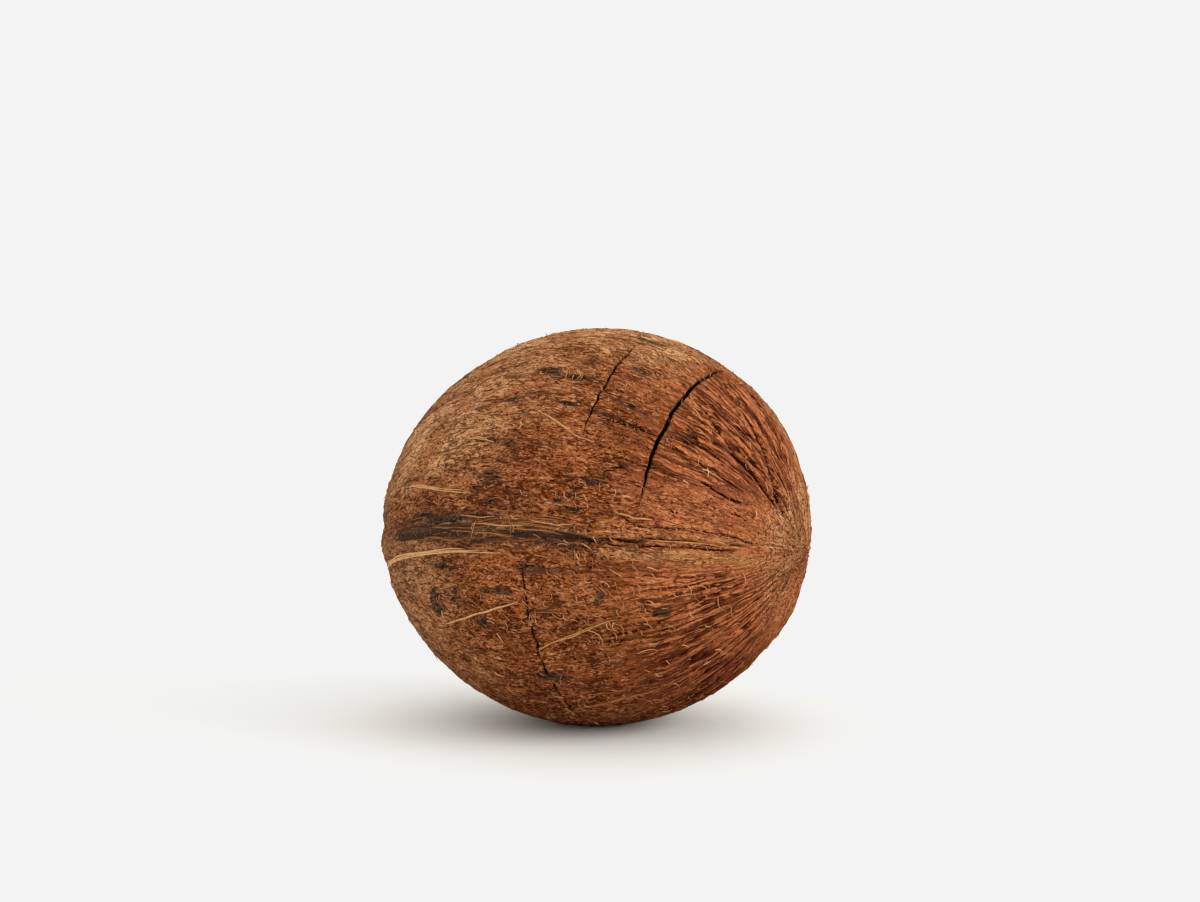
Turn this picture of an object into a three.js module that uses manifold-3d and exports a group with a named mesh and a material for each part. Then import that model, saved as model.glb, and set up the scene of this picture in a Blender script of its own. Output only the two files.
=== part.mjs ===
// A ripe coconut with its outer husk stripped off, lying on its side as it comes to rest.
// Millimetres, +Z up. +X runs along the nut towards its pointed tip, -Y is the side with the
// front seam, and the origin is the middle of the small flat spot that the nut rests on.
//
// Places on the nut are two angles: "along" is 0 at the tip and 180 degrees at the stem end,
// and "around" is 0 at the front seam and grows over the top.
import * as THREE from "three";
import { mergeVertices } from "three/addons/utils/BufferGeometryUtils.js";
import Module from "manifold-3d";

const DEG = Math.PI / 180;

// The nut's form
const TIP_LENGTH = 58.5; // widest ring to the tip
const STEM_LENGTH = 59.2; // widest ring to the stem end
const GIRTH_RADIUS = 54.1;
const TIP_TAPER = 0.011; // how much slimmer the tip half is, as a share of the radius
const THREE_SIDED = 0.016; // how far the girth swells at the three seams
const OVAL = 0.0335; // how far the girth is from round
const OVAL_TURN = 148 * DEG;
const TIP_SHOULDER = -0.006; // below 0 is slimmer than an ellipse half way to the end
const STEM_SHOULDER = -0.017;
const SAG = 0.6; // both ends sit this much below the middle
const STEM_BEND = 12.5 * DEG; // the stem end sits below the far end of the long axis
const SEAM_TURN = 4.2 * DEG; // the front seam is this far above level

// How it lies
const REST_TILT = 2.9 * DEG; // tip down
const REST_X = -0.2; // the spot it rests on, from the nut's middle
const REST_Y = -0.8;
const CENTRE_HEIGHT = 52.9;
const REST_CALM = 13; // no relief within about this distance of the resting spot

// Relief of the shell's fibre coat
const LUMP_HEIGHT = 0.45;
const LUMPS_AROUND = 9;
const LUMPS_ALONG = 6;
const GROOVE_DEPTH = 1.7;
const GROOVES_AROUND = 96;
const GROOVES_ALONG = 5;
const GROOVE_SHARE_AT_STEM = 0.35; // the grooves are shallower away from the tip
const NUB_HEIGHT = 1.3; // the point that the three seams make at the tip
const NUB_RADIUS = 6;
const TUFT_HEIGHT = 1.2; // the worn stump of the stalk between the eyes
const TUFT_RADIUS = 4;

// The three seams: a raised rib with a groove along its crest and a furrow on each side
const SEAMS = 3;
const RIB_HEIGHT = 1.1;
const RIB_HALF = 2.6;
const CREST_GROOVE = 0.9;
const CREST_HALF = 0.8;
const FURROW_DEPTH = 0.5;
const FURROW_HALF = 2.2;
const FURROW_OFFSET = 5.5;

// The deepest hollows between the fibres, next to the tip: [from, to, around, depth]
const HOLLOWS = [
  [7, 24, 54, 1.6],
  [14, 34, 38, 1.1],
];
const HOLLOW_HALF = 1.3;

// Cracks in the shell run around the nut, across the fibres
const CRACKS = [
  { along: 57.5, lean: -0.013, from: 13, to: 91, width: 1.5, depth: 5 },
  { along: 75.6, lean: 0.01, from: 29, to: 83, width: 0.6, depth: 4 },
  { along: 82.5, lean: 0.045, from: -70, to: -7, width: 0.75, depth: 4 },
];
const CRACK_STEP = 3; // degrees between a crack's points
const CRACK_JOG = 0.35; // how far it wanders to either side, in degrees
const CUT_CLEARANCE = 2; // cutters start this far above the surface

// The three eyes round the stem end, one between each pair of seams
const EYE_RADIUS = 4.2;
const EYE_DEPTH = 1.6;
const EYE_DISTANCE = 11.5; // from the stem end
const EYE_SIDES = 9;

// Coarse husk fibres that stayed stuck to the shell: their course as [along, around] in degrees
const STRAND_THICKNESS = 1.1;
const STRAND_RISE = 0.25; // from the coat to the middle of a strand
const STRAND_SIDES = 5;
const STRAND_STEPS = 10;
const STRANDS = [
  { width: 1.5, course: [[150, -13], [146, -9.5], [131, -6.5], [110, -5], [86, -4.7]] },
  { width: 1.2, course: [[127, 18], [120, 15.5], [111, 12.5], [101, 11]] },
  { width: 1.1, course: [[113, -27.5], [106, -24.5], [96, -20.5], [87, -17.5]] },
  { width: 1.1, course: [[84, -32], [77, -28.5], [66, -24]] },
  { width: 1.4, course: [[88, 37], [79, 31], [72, 28.5], [54, 29.5], [34, 30], [20, 24]] },
];

// Triangles of the skin
const COLUMNS = 192; // a multiple of 3, so that each seam falls on a column
const ROWS = 22;

const wasm = await Module();
wasm.setup();

// A number from -1 to 1 that is always the same for the same place
function lattice(i, j, seed) {
  const s = Math.sin(i * 127.1 + j * 311.7 + seed * 74.7) * 43758.5453;
  return 2 * (s - Math.floor(s)) - 1;
}

function ease(t) {
  return t * t * (3 - 2 * t);
}

// Smooth random height from -1 to 1, in cells that close up round the nut
function grain(along, around, cellsAround, cellsAlong, seed) {
  const turn = around / (2 * Math.PI);
  const u = (turn - Math.floor(turn)) * cellsAround;
  const v = (along / Math.PI) * cellsAlong;
  const i = Math.floor(u);
  const j = Math.floor(v);
  const row = (k) => {
    const a = lattice(i % cellsAround, k, seed);
    const b = lattice((i + 1) % cellsAround, k, seed);
    return THREE.MathUtils.lerp(a, b, ease(u - i));
  };
  return THREE.MathUtils.lerp(row(j), row(j + 1), ease(v - j));
}

function bell(distance, half) {
  return Math.exp(-((distance / half) ** 2));
}

// Shortest turn from 0, from -180 to 180 degrees
function shortTurn(angle) {
  return Math.atan2(Math.sin(angle), Math.cos(angle));
}

// The nearest seam's distance across the surface
function seamDistance(along, around) {
  const spacing = (2 * Math.PI) / SEAMS;
  const nearest = Math.round(around / spacing) * spacing;
  return GIRTH_RADIUS * Math.sin(along) * shortTurn(around - nearest);
}

function seamRelief(along, around) {
  const d = Math.abs(seamDistance(along, around));
  const rib = RIB_HEIGHT * bell(d, RIB_HALF) - CREST_GROOVE * bell(d, CREST_HALF);
  const furrow = FURROW_DEPTH * bell(d - FURROW_OFFSET, FURROW_HALF);
  return (rib - furrow) * Math.sqrt(Math.sin(along));
}

function grooveRelief(along, around) {
  const wave = grain(along, around, GROOVES_AROUND, GROOVES_ALONG, 2);
  const toStem = ease(THREE.MathUtils.clamp((along / DEG - 55) / 60, 0, 1));
  const share = THREE.MathUtils.lerp(1, GROOVE_SHARE_AT_STEM, toStem);
  return -GROOVE_DEPTH * share * Math.max(0, -wave - 0.15) * Math.sin(along);
}

function hollowRelief(along, around) {
  let sum = 0;
  for (const [from, to, middle, depth] of HOLLOWS) {
    const share = THREE.MathUtils.clamp((along / DEG - from) / (to - from), 0, 1);
    const aside = GIRTH_RADIUS * Math.sin(along) * shortTurn(around - middle * DEG);
    sum -= depth * Math.sin(Math.PI * share) * bell(aside, HOLLOW_HALF);
  }
  return sum;
}

function lumpRelief(along, around) {
  return LUMP_HEIGHT * grain(along, around, LUMPS_AROUND, LUMPS_ALONG, 1) * Math.sin(along);
}

function endRelief(along) {
  const nub = NUB_HEIGHT * bell(TIP_LENGTH * along, NUB_RADIUS);
  const tuft = TUFT_HEIGHT * bell(STEM_LENGTH * (Math.PI - along), TUFT_RADIUS);
  return nub + tuft;
}

function relief(along, around) {
  return (
    seamRelief(along, around) +
    grooveRelief(along, around) +
    hollowRelief(along, around) +
    lumpRelief(along, around) +
    endRelief(along)
  );
}

// A point of the smooth form and its outward normal, in the nut's own frame
function form(along, around) {
  const turned = around + SEAM_TURN;
  const d = new THREE.Vector3(
    Math.cos(along),
    -Math.sin(along) * Math.cos(turned),
    Math.sin(along) * Math.sin(turned),
  );
  const stemShare = ((1 - Math.cos(along)) / 2) ** 2;
  d.applyAxisAngle(new THREE.Vector3(0, 1, 0), -STEM_BEND * stemShare);
  const turn = Math.atan2(d.z, -d.y);
  const side = Math.hypot(d.y, d.z);
  const half = d.x > 0 ? TIP_LENGTH : STEM_LENGTH;
  const shoulder = 1 + (d.x > 0 ? TIP_SHOULDER : STEM_SHOULDER) * (2 * side * d.x) ** 2;
  const lobes = THREE_SIDED * side * Math.cos(3 * (turn - SEAM_TURN));
  const oval = OVAL * Math.cos(2 * (turn - OVAL_TURN));
  const radius = GIRTH_RADIUS * shoulder * (1 - TIP_TAPER * d.x) * (1 + lobes + oval);
  const point = new THREE.Vector3(
    half * shoulder * d.x,
    radius * d.y,
    radius * d.z - SAG * d.x ** 2,
  );
  const normal = new THREE.Vector3(
    point.x / half ** 2,
    point.y / radius ** 2,
    point.z / radius ** 2,
  ).normalize();
  return { point, normal };
}

// A place on the lying nut, a height above the smooth form
function onNut(along, around, height = 0) {
  const { point, normal } = form(along, around);
  return point
    .addScaledVector(normal, height)
    .applyAxisAngle(new THREE.Vector3(0, 1, 0), REST_TILT)
    .add(new THREE.Vector3(-REST_X, -REST_Y, CENTRE_HEIGHT));
}

// The same, on the fibre coat: its relief dies away round the resting spot
function onCoat(along, around, height = 0) {
  const calm = 1 - bell(onNut(along, around).length(), REST_CALM);
  return onNut(along, around, height + calm * relief(along, around));
}

function solidOf(geometry) {
  const bare = geometry.clone();
  bare.deleteAttribute("normal");
  bare.deleteAttribute("uv");
  const merged = mergeVertices(bare, 1e-4);
  return new wasm.Manifold(
    new wasm.Mesh({
      numProp: 3,
      vertProperties: new Float32Array(merged.attributes.position.array),
      triVerts: new Uint32Array(merged.index.array),
    }),
  );
}

function geometryOf(solid) {
  const mesh = solid.getMesh();
  const geometry = new THREE.BufferGeometry();
  geometry.setAttribute("position", new THREE.BufferAttribute(mesh.vertProperties, 3));
  geometry.setIndex(new THREE.BufferAttribute(mesh.triVerts, 1));
  geometry.computeVertexNormals();
  return geometry;
}

// The nut's skin: a sphere's net of triangles with each corner moved on to the coat
function skin() {
  const geometry = new THREE.SphereGeometry(1, COLUMNS, ROWS);
  const position = geometry.getAttribute("position");
  for (let i = 0; i < position.count; i++) {
    const along = Math.acos(THREE.MathUtils.clamp(position.getY(i), -1, 1));
    const around = Math.atan2(position.getX(i), -position.getZ(i));
    const place = onCoat(along, around);
    position.setXYZ(i, place.x, place.y, place.z);
  }
  return solidOf(geometry);
}

// A closed body through rings of points, each ring facing back along the course
function loft(rings) {
  const sides = rings[0].length;
  const points = rings.flat();
  const faces = [];
  for (let r = 0; r + 1 < rings.length; r++) {
    for (let s = 0; s < sides; s++) {
      const a = r * sides + s;
      const b = r * sides + ((s + 1) % sides);
      faces.push(a, a + sides, b, b, a + sides, b + sides);
    }
  }
  const last = (rings.length - 1) * sides;
  for (let s = 1; s + 1 < sides; s++) {
    faces.push(0, s, s + 1, last, last + s + 1, last + s);
  }
  const geometry = new THREE.BufferGeometry().setFromPoints(points);
  geometry.setIndex(faces);
  return solidOf(geometry);
}

// A wedge that cuts a crack across the fibres: wide at the surface, closed at the bottom and ends
function crackCutter({ along, lean, from, to, width, depth }, seed) {
  const steps = Math.round((to - from) / CRACK_STEP);
  const rings = [];
  for (let i = 0; i <= steps; i++) {
    const share = i / steps;
    const around = THREE.MathUtils.lerp(from, to, share);
    const jog = CRACK_JOG * lattice(i, 0, seed);
    const middle = (along + lean * (around - from) + jog) * DEG;
    const open = Math.max(0.12, Math.sqrt(Math.sin(Math.PI * share)));
    const half = (0.5 * width * open * (1 + CUT_CLEARANCE / depth)) / TIP_LENGTH;
    rings.push([
      onNut(middle - half, around * DEG, CUT_CLEARANCE),
      onNut(middle + half, around * DEG, CUT_CLEARANCE),
      onNut(middle, around * DEG, -depth * open),
    ]);
  }
  return loft(rings);
}

// The shallow dish of an eye: a ball sunk until its rim is EYE_RADIUS wide
function eyeCutter(around) {
  const ball = (EYE_RADIUS ** 2 + EYE_DEPTH ** 2) / (2 * EYE_DEPTH);
  const along = Math.PI - EYE_DISTANCE / GIRTH_RADIUS;
  const middle = onNut(along, around, ball - EYE_DEPTH);
  const geometry = new THREE.SphereGeometry(ball, 2 * EYE_SIDES, EYE_SIDES);
  geometry.translate(middle.x, middle.y, middle.z);
  return solidOf(geometry);
}

// A fibre half sunk in the coat along its course
function strand({ width, course }) {
  const knots = course.map(([along, around]) => new THREE.Vector3(along, around, 0));
  const path = new THREE.CatmullRomCurve3(knots);
  const rings = [];
  for (let i = 0; i <= STRAND_STEPS; i++) {
    const here = path.getPoint(i / STRAND_STEPS).multiplyScalar(DEG);
    const ahead = path.getTangent(i / STRAND_STEPS).multiplyScalar(DEG);
    const place = onCoat(here.x, here.y, STRAND_RISE);
    const next = onCoat(here.x + 0.5 * ahead.x, here.y + 0.5 * ahead.y, STRAND_RISE);
    const forward = next.clone().sub(place).normalize();
    const up = onCoat(here.x, here.y, STRAND_RISE + 1).sub(place).normalize();
    const side = new THREE.Vector3().crossVectors(forward, up).normalize();
    const taper = 0.35 + 0.65 * Math.sin((Math.PI * (i + 0.5)) / (STRAND_STEPS + 1));
    const ring = [];
    for (let k = 0; k < STRAND_SIDES; k++) {
      const turn = (2 * Math.PI * k) / STRAND_SIDES;
      ring.push(
        place
          .clone()
          .addScaledVector(side, 0.5 * width * taper * Math.cos(turn))
          .addScaledVector(up, 0.5 * STRAND_THICKNESS * taper * Math.sin(turn)),
      );
    }
    rings.push(ring);
  }
  return loft(rings);
}

// Everything under the surface that the nut rests on, which leaves the small flat spot
function groundCutter() {
  const size = 4 * GIRTH_RADIUS;
  const geometry = new THREE.BoxGeometry(size, size, size);
  geometry.translate(0, 0, -size / 2);
  return solidOf(geometry);
}

function coconut() {
  let solid = skin();
  for (const fibre of STRANDS) {
    solid = solid.add(strand(fibre));
  }
  for (let k = 0; k < SEAMS; k++) {
    solid = solid.subtract(eyeCutter((Math.PI * (2 * k + 1)) / SEAMS));
  }
  CRACKS.forEach((crack, i) => {
    solid = solid.subtract(crackCutter(crack, i + 5));
  });
  return geometryOf(solid.subtract(groundCutter()));
}

const shellMaterial = new THREE.MeshStandardMaterial({
  name: "coir_coat",
  color: "#84512f",
  roughness: 0.85,
  metalness: 0,
});

const nut = new THREE.Mesh(coconut(), shellMaterial);
nut.name = "coconut";

const part = new THREE.Group();
part.name = "whole_coconut";
part.add(nut);

export default part;
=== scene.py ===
import math

import bpy
import numpy as np
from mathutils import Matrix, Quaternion, Vector


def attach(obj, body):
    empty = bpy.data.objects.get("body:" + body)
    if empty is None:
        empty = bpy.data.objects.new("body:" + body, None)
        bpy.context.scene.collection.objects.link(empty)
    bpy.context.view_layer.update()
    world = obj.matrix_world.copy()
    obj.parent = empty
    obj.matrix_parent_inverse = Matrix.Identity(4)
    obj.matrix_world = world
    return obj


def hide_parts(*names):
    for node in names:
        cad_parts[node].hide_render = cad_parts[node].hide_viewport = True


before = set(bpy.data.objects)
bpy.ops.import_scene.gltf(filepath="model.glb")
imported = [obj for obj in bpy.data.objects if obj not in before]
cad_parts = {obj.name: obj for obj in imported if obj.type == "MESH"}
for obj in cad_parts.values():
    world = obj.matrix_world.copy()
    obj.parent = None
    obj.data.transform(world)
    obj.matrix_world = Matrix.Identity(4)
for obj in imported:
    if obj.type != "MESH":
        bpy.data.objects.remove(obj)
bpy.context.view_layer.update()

bl_info = {
    "name": "Husked Coconut",
    "version": (1, 0, 0),
    "blender": (4, 5, 0),
    "location": "3D View > Sidebar > Coconut",
    "description": "Builds a ripe coconut without its husk: coat, cracks, strands and hairs",
    "category": "Object",
}

# Places on the nut are two angles, as in the solid model: "along" is 0 at the tip and 180
# degrees at the stem end, "around" is 0 at the front seam and grows over the top.
# Sizes are in millimetres until a mesh is made, which is in metres.
MM = 0.001
DEG = math.pi / 180

# The nut's form, as in the solid model
TIP_LENGTH = 58.5
STEM_LENGTH = 59.2
GIRTH_RADIUS = 54.1
TIP_TAPER = 0.011
THREE_SIDED = 0.016
OVAL = 0.0335
OVAL_TURN = 148 * DEG
TIP_SHOULDER = -0.006
STEM_SHOULDER = -0.017
SAG = 0.6
STEM_BEND = 12.5 * DEG
SEAM_TURN = 4.2 * DEG

# How it lies
REST_TILT = 2.9 * DEG
NUT_CENTRE = np.array([0.2, 0.8, 52.9])
REST_CALM = 13  # no relief this near the flat spot it rests on

# The relief that the solid model has too. LUMPS and GROOVES are cells around and along;
# each hollow is from, to and middle in degrees, and depth.
LUMP_HEIGHT = 0.45
LUMPS = (9, 6)
GROOVE_DEPTH = 1.7
GROOVES = (96, 5)
GROOVE_SHARE_AT_STEM = 0.35
NUB_HEIGHT = 1.3
NUB_RADIUS = 6
TUFT_HEIGHT = 1.2
TUFT_RADIUS = 4
SEAMS = 3
RIB_HEIGHT = 1.1
RIB_HALF = 2.6
CREST_GROOVE = 0.9
CREST_HALF = 0.8
FURROW_DEPTH = 0.5
FURROW_HALF = 2.2
FURROW_OFFSET = 5.5
HOLLOWS = [(7, 24, 54, 1.6), (14, 34, 38, 1.1)]
HOLLOW_HALF = 1.3
EYE_RADIUS = 4.2
EYE_DEPTH = 1.6
EYE_DISTANCE = 11.5

# Cracks across the fibres: along, lean, from, to, width, depth, the solid model's jog seed
# and over how many degrees each end narrows
CRACKS = [
    (58.1, -0.018, 12, 95, 1.05, 5, 5, (20, 3)),
    (75.6, 0.01, 29, 83, 0.6, 4, 6, (16, 16)),
    (82.5, 0.045, -72, -7, 0.65, 4, 7, (3, 9)),
]
CRACK_STEP = 3
CRACK_JOG = 0.35
CRACK_RAGGED = 0.1  # how ragged the broken fibres leave each edge, in degrees
CRACK_LIP = 0.4  # the net is fine over this distance beside a crack

# The finer relief of the scene alone, in cells around and along. The girth is 340 mm and the
# way from tip to stem end 180 mm, so the felt's cells are 1 by 1.6 mm.
FINE_DEPTH = 0.5
FELT_CELLS = (340, 110)
CLUMP_CELLS = (120, 44)
FISSURE_CELLS = (120, 11)
FINE_FISSURE_CELLS = (200, 22)

# Coarse husk fibres that stayed stuck to the coat: width, paleness, then the course in degrees
STRANDS = [
    (1.4, 0.75, [(150, -13), (146, -9.5), (131, -6.5), (110, -5), (92, -4.7)]),
    (1.1, 0.55, [(127, 18), (120, 15.5), (111, 12.5), (101, 11)]),
    (0.6, 0.5, [(113, -27.5), (106, -24.5), (96, -20.5), (87, -17.5)]),
    (0.65, 0.45, [(84, -32), (77, -28.5), (70, -25.5), (63, -23)]),
    (0.8, 0.6, [(89, 37), (84, 34), (78, 30.5), (72, 28.5)]),
    (0.8, 0.5, [(106, 28), (102, 27.5), (97, 26)]),
    (0.7, 0.35, [(97, 77.5), (91, 78), (84, 80), (73.5, 80.5)]),
    (0.5, 0.3, [(81.5, -57.5), (67.5, -56), (55.5, -56.5)]),
    (0.3, 0.6, [(104, 4.8), (98, 4.3), (93, 4.6)]),
    (0.3, 0.6, [(84, 4.2), (78, 3.4), (73, 3.9)]),
    (0.25, 0.3, [(106, 0.8), (95, 0.2), (88, -0.6)]),
    (0.25, 0.5, [(99, 2.6), (91, 2.2), (85, 2.5)]),
    (0.5, 0.45, [(64, 9.5), (59, 8.2), (54, 8.8)]),
    (0.45, 0.4, [(56, 1.9), (46, 2.3), (36, 2.6), (28, 2.0)]),
]

# A low ridge of coat runs on from a strand to the tip: height, half width, course
RIDGES = [(0.7, 1.1, [(80, 32), (72, 28.5), (54, 29.5), (34, 30), (20, 24)])]

# Creases that open between the fibres on the side of the tip: depth, half width, course
CREASES = [
    (0.9, 0.45, [(60, 64), (52, 61), (47, 58), (43, 55), (39, 52), (35, 49)]),
    (1.5, 0.8, [(54, 84), (44, 79.8), (38.5, 78), (31.5, 73), (25.5, 65), (19, 57), (10, 49)]),
    (1.1, 0.6, [(50, 100), (37.5, 97.3), (31.5, 95.8), (25, 96.8), (14, 98)]),
    (0.7, 0.45, [(58, 44), (50, 42.5), (46, 42.8), (41.5, 42.3), (36, 44)]),
    (1.2, 0.7, [(41, 50), (36, 51), (30.5, 50.5), (24, 47), (15, 45)]),
    (0.6, 0.4, [(60, -30), (54.5, -28.7), (49, -26.7), (43, -25.2), (37.5, -21.7), (31, -18)]),
    (0.6, 0.4, [(66, 10), (55.5, 5.2), (42.5, 7.3), (34, 8.3), (20, 5)]),
    (0.5, 0.4, [(76, -46), (66, -44), (56, -42.5), (44, -42)]),
    (0.4, 0.5, [(76, 29), (64, 26), (50, 27), (34, 27), (22, 21)]),
    (0.5, 0.5, [(80, 66), (72, 70), (64, 71), (56, 74)]),
    (0.9, 0.38, [(74, 0.5), (66.5, 0.4), (56.5, 1.3), (46, 2.3), (34.5, 2.8), (25, 3)]),
    (0.8, 0.34, [(70, -1.6), (66, -1.2), (53.5, -0.7), (40, 0.3), (26, 1.3)]),
]

# Shorter ones between them, whose places don't matter
STRAY_CREASES = 110
STRAY_START = (24, 64)
STRAY_REACH = (7, 20)
STRAY_DEPTH = (0.3, 0.85)
STRAY_HALF = (0.24, 0.4)
STRAY_CLEAR = 6  # how far they keep from a seam

# Fine fibres along the grain, and the fibres that make up a strand
FIBRE_LENGTH = (4, 10)
FIBRE_WIDTH = (0.2, 0.36)
FIBRE_CLEAR = 4  # how far they keep above the ground
BESIDE_SEAM = 5  # they are longer and thicker set within this distance of a seam
STRAND_FIBRE = 0.42

# Charcoal scorch marks: along, around, half length and half width in millimetres
SCORCH_MARKS = [
    (81.5, 61.6, 4.5, 2.2), (90, 54, 2.6, 1.6), (82.3, 52.3, 4.2, 1.0),
    (69.5, 63.3, 2.8, 1.4), (103.7, 38.3, 3.0, 1.3), (97.5, 41, 2.6, 0.9),
    (82, 40.6, 2.6, 0.9), (98.5, 26.3, 8.0, 0.6), (78.2, 10, 1.2, 1.0),
    (74, 8.6, 2.4, 0.9), (69.5, 17.3, 2.6, 1.2), (84.7, -8.5, 2.6, 1.1),
    (92.5, -14.7, 5.0, 0.9), (66.2, -16, 1.3, 1.7), (50.2, -22.5, 2.6, 1.4),
    (98.5, -24, 2.4, 1.4), (83, -41.7, 4.0, 1.9), (59, -51.2, 1.8, 1.3),
    (115, -18.2, 2.4, 1.7), (106, -19, 2.8, 1.7), (121, 5.5, 6.0, 1.0),
    (102, -34.5, 2.2, 0.9), (96, 15.3, 3.2, 1.6), (94.5, 8, 3.2, 1.8),
    (108, 4.0, 7, 0.8), (96, 4.6, 6, 0.8), (83, 4.4, 4, 0.6), (74, -2.0, 5, 0.6),
    (57, 1.2, 4.5, 0.6), (121, 68, 3, 1.2), (102, 71, 3.5, 1.3), (75, 85, 5, 1.2),
    (114.5, -20, 2.6, 3.0), (111, -9.7, 4.2, 1.1), (94, -43.2, 3, 0.9),
    (81.5, -20.2, 3.2, 0.7), (100, 12.3, 2.2, 1.2), (93, 25.3, 3.2, 0.7),
]

# How far the coat's grain pushes a mark's outline about, and how far it breaks up the mark
SCORCH_RAGGED = 0.5
SCORCH_BROKEN = 0.35

# The stained strip along the front seam: from, to, middle, half width
STAIN = (68, 130, 1.0, 3.4)

# Where the photographed nut stands in its picture
PICTURE = (1200, 902)
NUT_PIXEL = (597, 526)
LENS = 85
SENSOR = 36
VIEW_AZIMUTH = 24.4 * DEG
VIEW_ELEVATION = 7 * DEG
VIEW_DISTANCE = 766.6
PAPER_TONE = 0.895  # how bright overexposed paper comes out, where 1 is pure white
PAPER_CLOUDS = 40

# Where the low soft light stands, seen from the nut
KEY_AZIMUTH = 95 * DEG
KEY_ELEVATION = 22 * DEG


def lattice(i, j, seed):
    """A number from -1 to 1 that is always the same for the same whole numbers."""
    s = np.sin(i * 127.1 + j * 311.7 + seed * 74.7) * 43758.5453
    return 2 * (s - np.floor(s)) - 1


def ease(t):
    return t * t * (3 - 2 * t)


def ramp(value, low, high):
    """0 at low, 1 at high and smooth between them."""
    return ease(np.clip((value - low) / (high - low), 0, 1))


def bell(distance, half):
    return np.exp(-((distance / half) ** 2))


def grain(along, around, cells, seed):
    """Smooth random height from -1 to 1, in cells that close up round the nut."""
    cells_around, cells_along = cells
    u = np.mod(around / (2 * math.pi), 1) * cells_around
    v = along / math.pi * cells_along
    i = np.floor(u)
    j = np.floor(v)
    across = ease(u - i)
    down = ease(v - j)
    near = i % cells_around
    far = (i + 1) % cells_around
    top = lattice(near, j, seed) * (1 - across) + lattice(far, j, seed) * across
    low = lattice(near, j + 1, seed) * (1 - across) + lattice(far, j + 1, seed) * across
    return top * (1 - down) + low * down


def short_turn(angle):
    return np.arctan2(np.sin(angle), np.cos(angle))


def turned_about_y(p, angle):
    c = np.cos(angle)
    s = np.sin(angle)
    return np.stack([p[..., 0] * c + p[..., 2] * s, p[..., 1],
                     -p[..., 0] * s + p[..., 2] * c], axis=-1)


def form(along, around):
    """Points of the smooth form and their outward normals, in the nut's own frame."""
    turned = around + SEAM_TURN
    d = np.stack([np.cos(along) + 0 * turned, -np.sin(along) * np.cos(turned),
                  np.sin(along) * np.sin(turned)], axis=-1)
    stem_share = ((1 - np.cos(along)) / 2) ** 2
    d = turned_about_y(d, -STEM_BEND * stem_share)
    x = d[..., 0]
    turn = np.arctan2(d[..., 2], -d[..., 1])
    side = np.hypot(d[..., 1], d[..., 2])
    half = np.where(x > 0, TIP_LENGTH, STEM_LENGTH)
    shoulder = 1 + np.where(x > 0, TIP_SHOULDER, STEM_SHOULDER) * (2 * side * x) ** 2
    lobes = THREE_SIDED * side * np.cos(3 * (turn - SEAM_TURN))
    oval = OVAL * np.cos(2 * (turn - OVAL_TURN))
    radius = GIRTH_RADIUS * shoulder * (1 - TIP_TAPER * x) * (1 + lobes + oval)
    point = np.stack([half * shoulder * x, radius * d[..., 1],
                      radius * d[..., 2] - SAG * x ** 2], axis=-1)
    normal = point / np.stack([half, radius, radius], axis=-1) ** 2
    return point, normal / np.linalg.norm(normal, axis=-1, keepdims=True)


def on_nut(along, around, height=0.0):
    """Places on the lying nut, a height above the smooth form."""
    point, normal = form(along, around)
    lifted = point + normal * np.asarray(height)[..., None]
    return turned_about_y(lifted, REST_TILT) + NUT_CENTRE


def aside_from(middle, along, around):
    """Distance from a line along the fibres: above 0 on the side that "around" grows to."""
    return GIRTH_RADIUS * np.sin(along) * short_turn(around - middle)


def seam_distance(along, around):
    spacing = 2 * math.pi / SEAMS
    return aside_from(np.round(around / spacing) * spacing, along, around)


def seam_relief(along, around):
    d = np.abs(seam_distance(along, around))
    rib = RIB_HEIGHT * bell(d, RIB_HALF) - CREST_GROOVE * bell(d, CREST_HALF)
    furrow = FURROW_DEPTH * bell(d - FURROW_OFFSET, FURROW_HALF)
    return (rib - furrow) * np.sqrt(np.sin(along))


def groove_relief(along, around):
    wave = grain(along, around, GROOVES, 2)
    to_stem = ramp(along / DEG, 55, 115)
    share = 1 + (GROOVE_SHARE_AT_STEM - 1) * to_stem
    return -GROOVE_DEPTH * share * np.maximum(0, -wave - 0.15) * np.sin(along)


def hollow_relief(along, around):
    total = 0 * along
    for start, end, middle, depth in HOLLOWS:
        share = np.clip((along / DEG - start) / (end - start), 0, 1)
        aside = aside_from(middle * DEG, along, around)
        total = total - depth * np.sin(math.pi * share) * bell(aside, HOLLOW_HALF)
    return total


def course_line(along, around, half, course):
    """1 in the middle of a course that runs along the fibres, falling to 0 at its sides
    and its ends."""
    knots = sorted(course)
    spots = [knot[0] for knot in knots]
    turns = [knot[1] for knot in knots]
    a = along / DEG
    wander = 0.9 * grain(along, around * 0, (1, 56), 17)
    aside = aside_from((np.interp(a, spots, turns) + wander) * DEG, along, around)
    ends = ramp(a, spots[0] - 1, spots[0] + 5) * ramp(a, spots[-1] + 1, spots[-1] - 5)
    return bell(aside, half) * ends


def stray_creases():
    """Shorter creases between the fibres on the side of the tip, clear of the seams."""
    random = np.random.default_rng(61)
    creases = []
    while len(creases) < STRAY_CREASES:
        start = random.uniform(*STRAY_START)
        around = random.uniform(-180, 180)
        if abs(seam_distance(start * DEG, around * DEG)) < STRAY_CLEAR:
            continue
        reach = random.uniform(*STRAY_REACH)
        turns = around + np.cumsum(random.normal(0, 1.2, 3))
        course = [(start + reach * k / 2, turns[k]) for k in range(3)]
        creases.append((random.uniform(*STRAY_DEPTH), random.uniform(*STRAY_HALF), course))
    return creases


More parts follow.
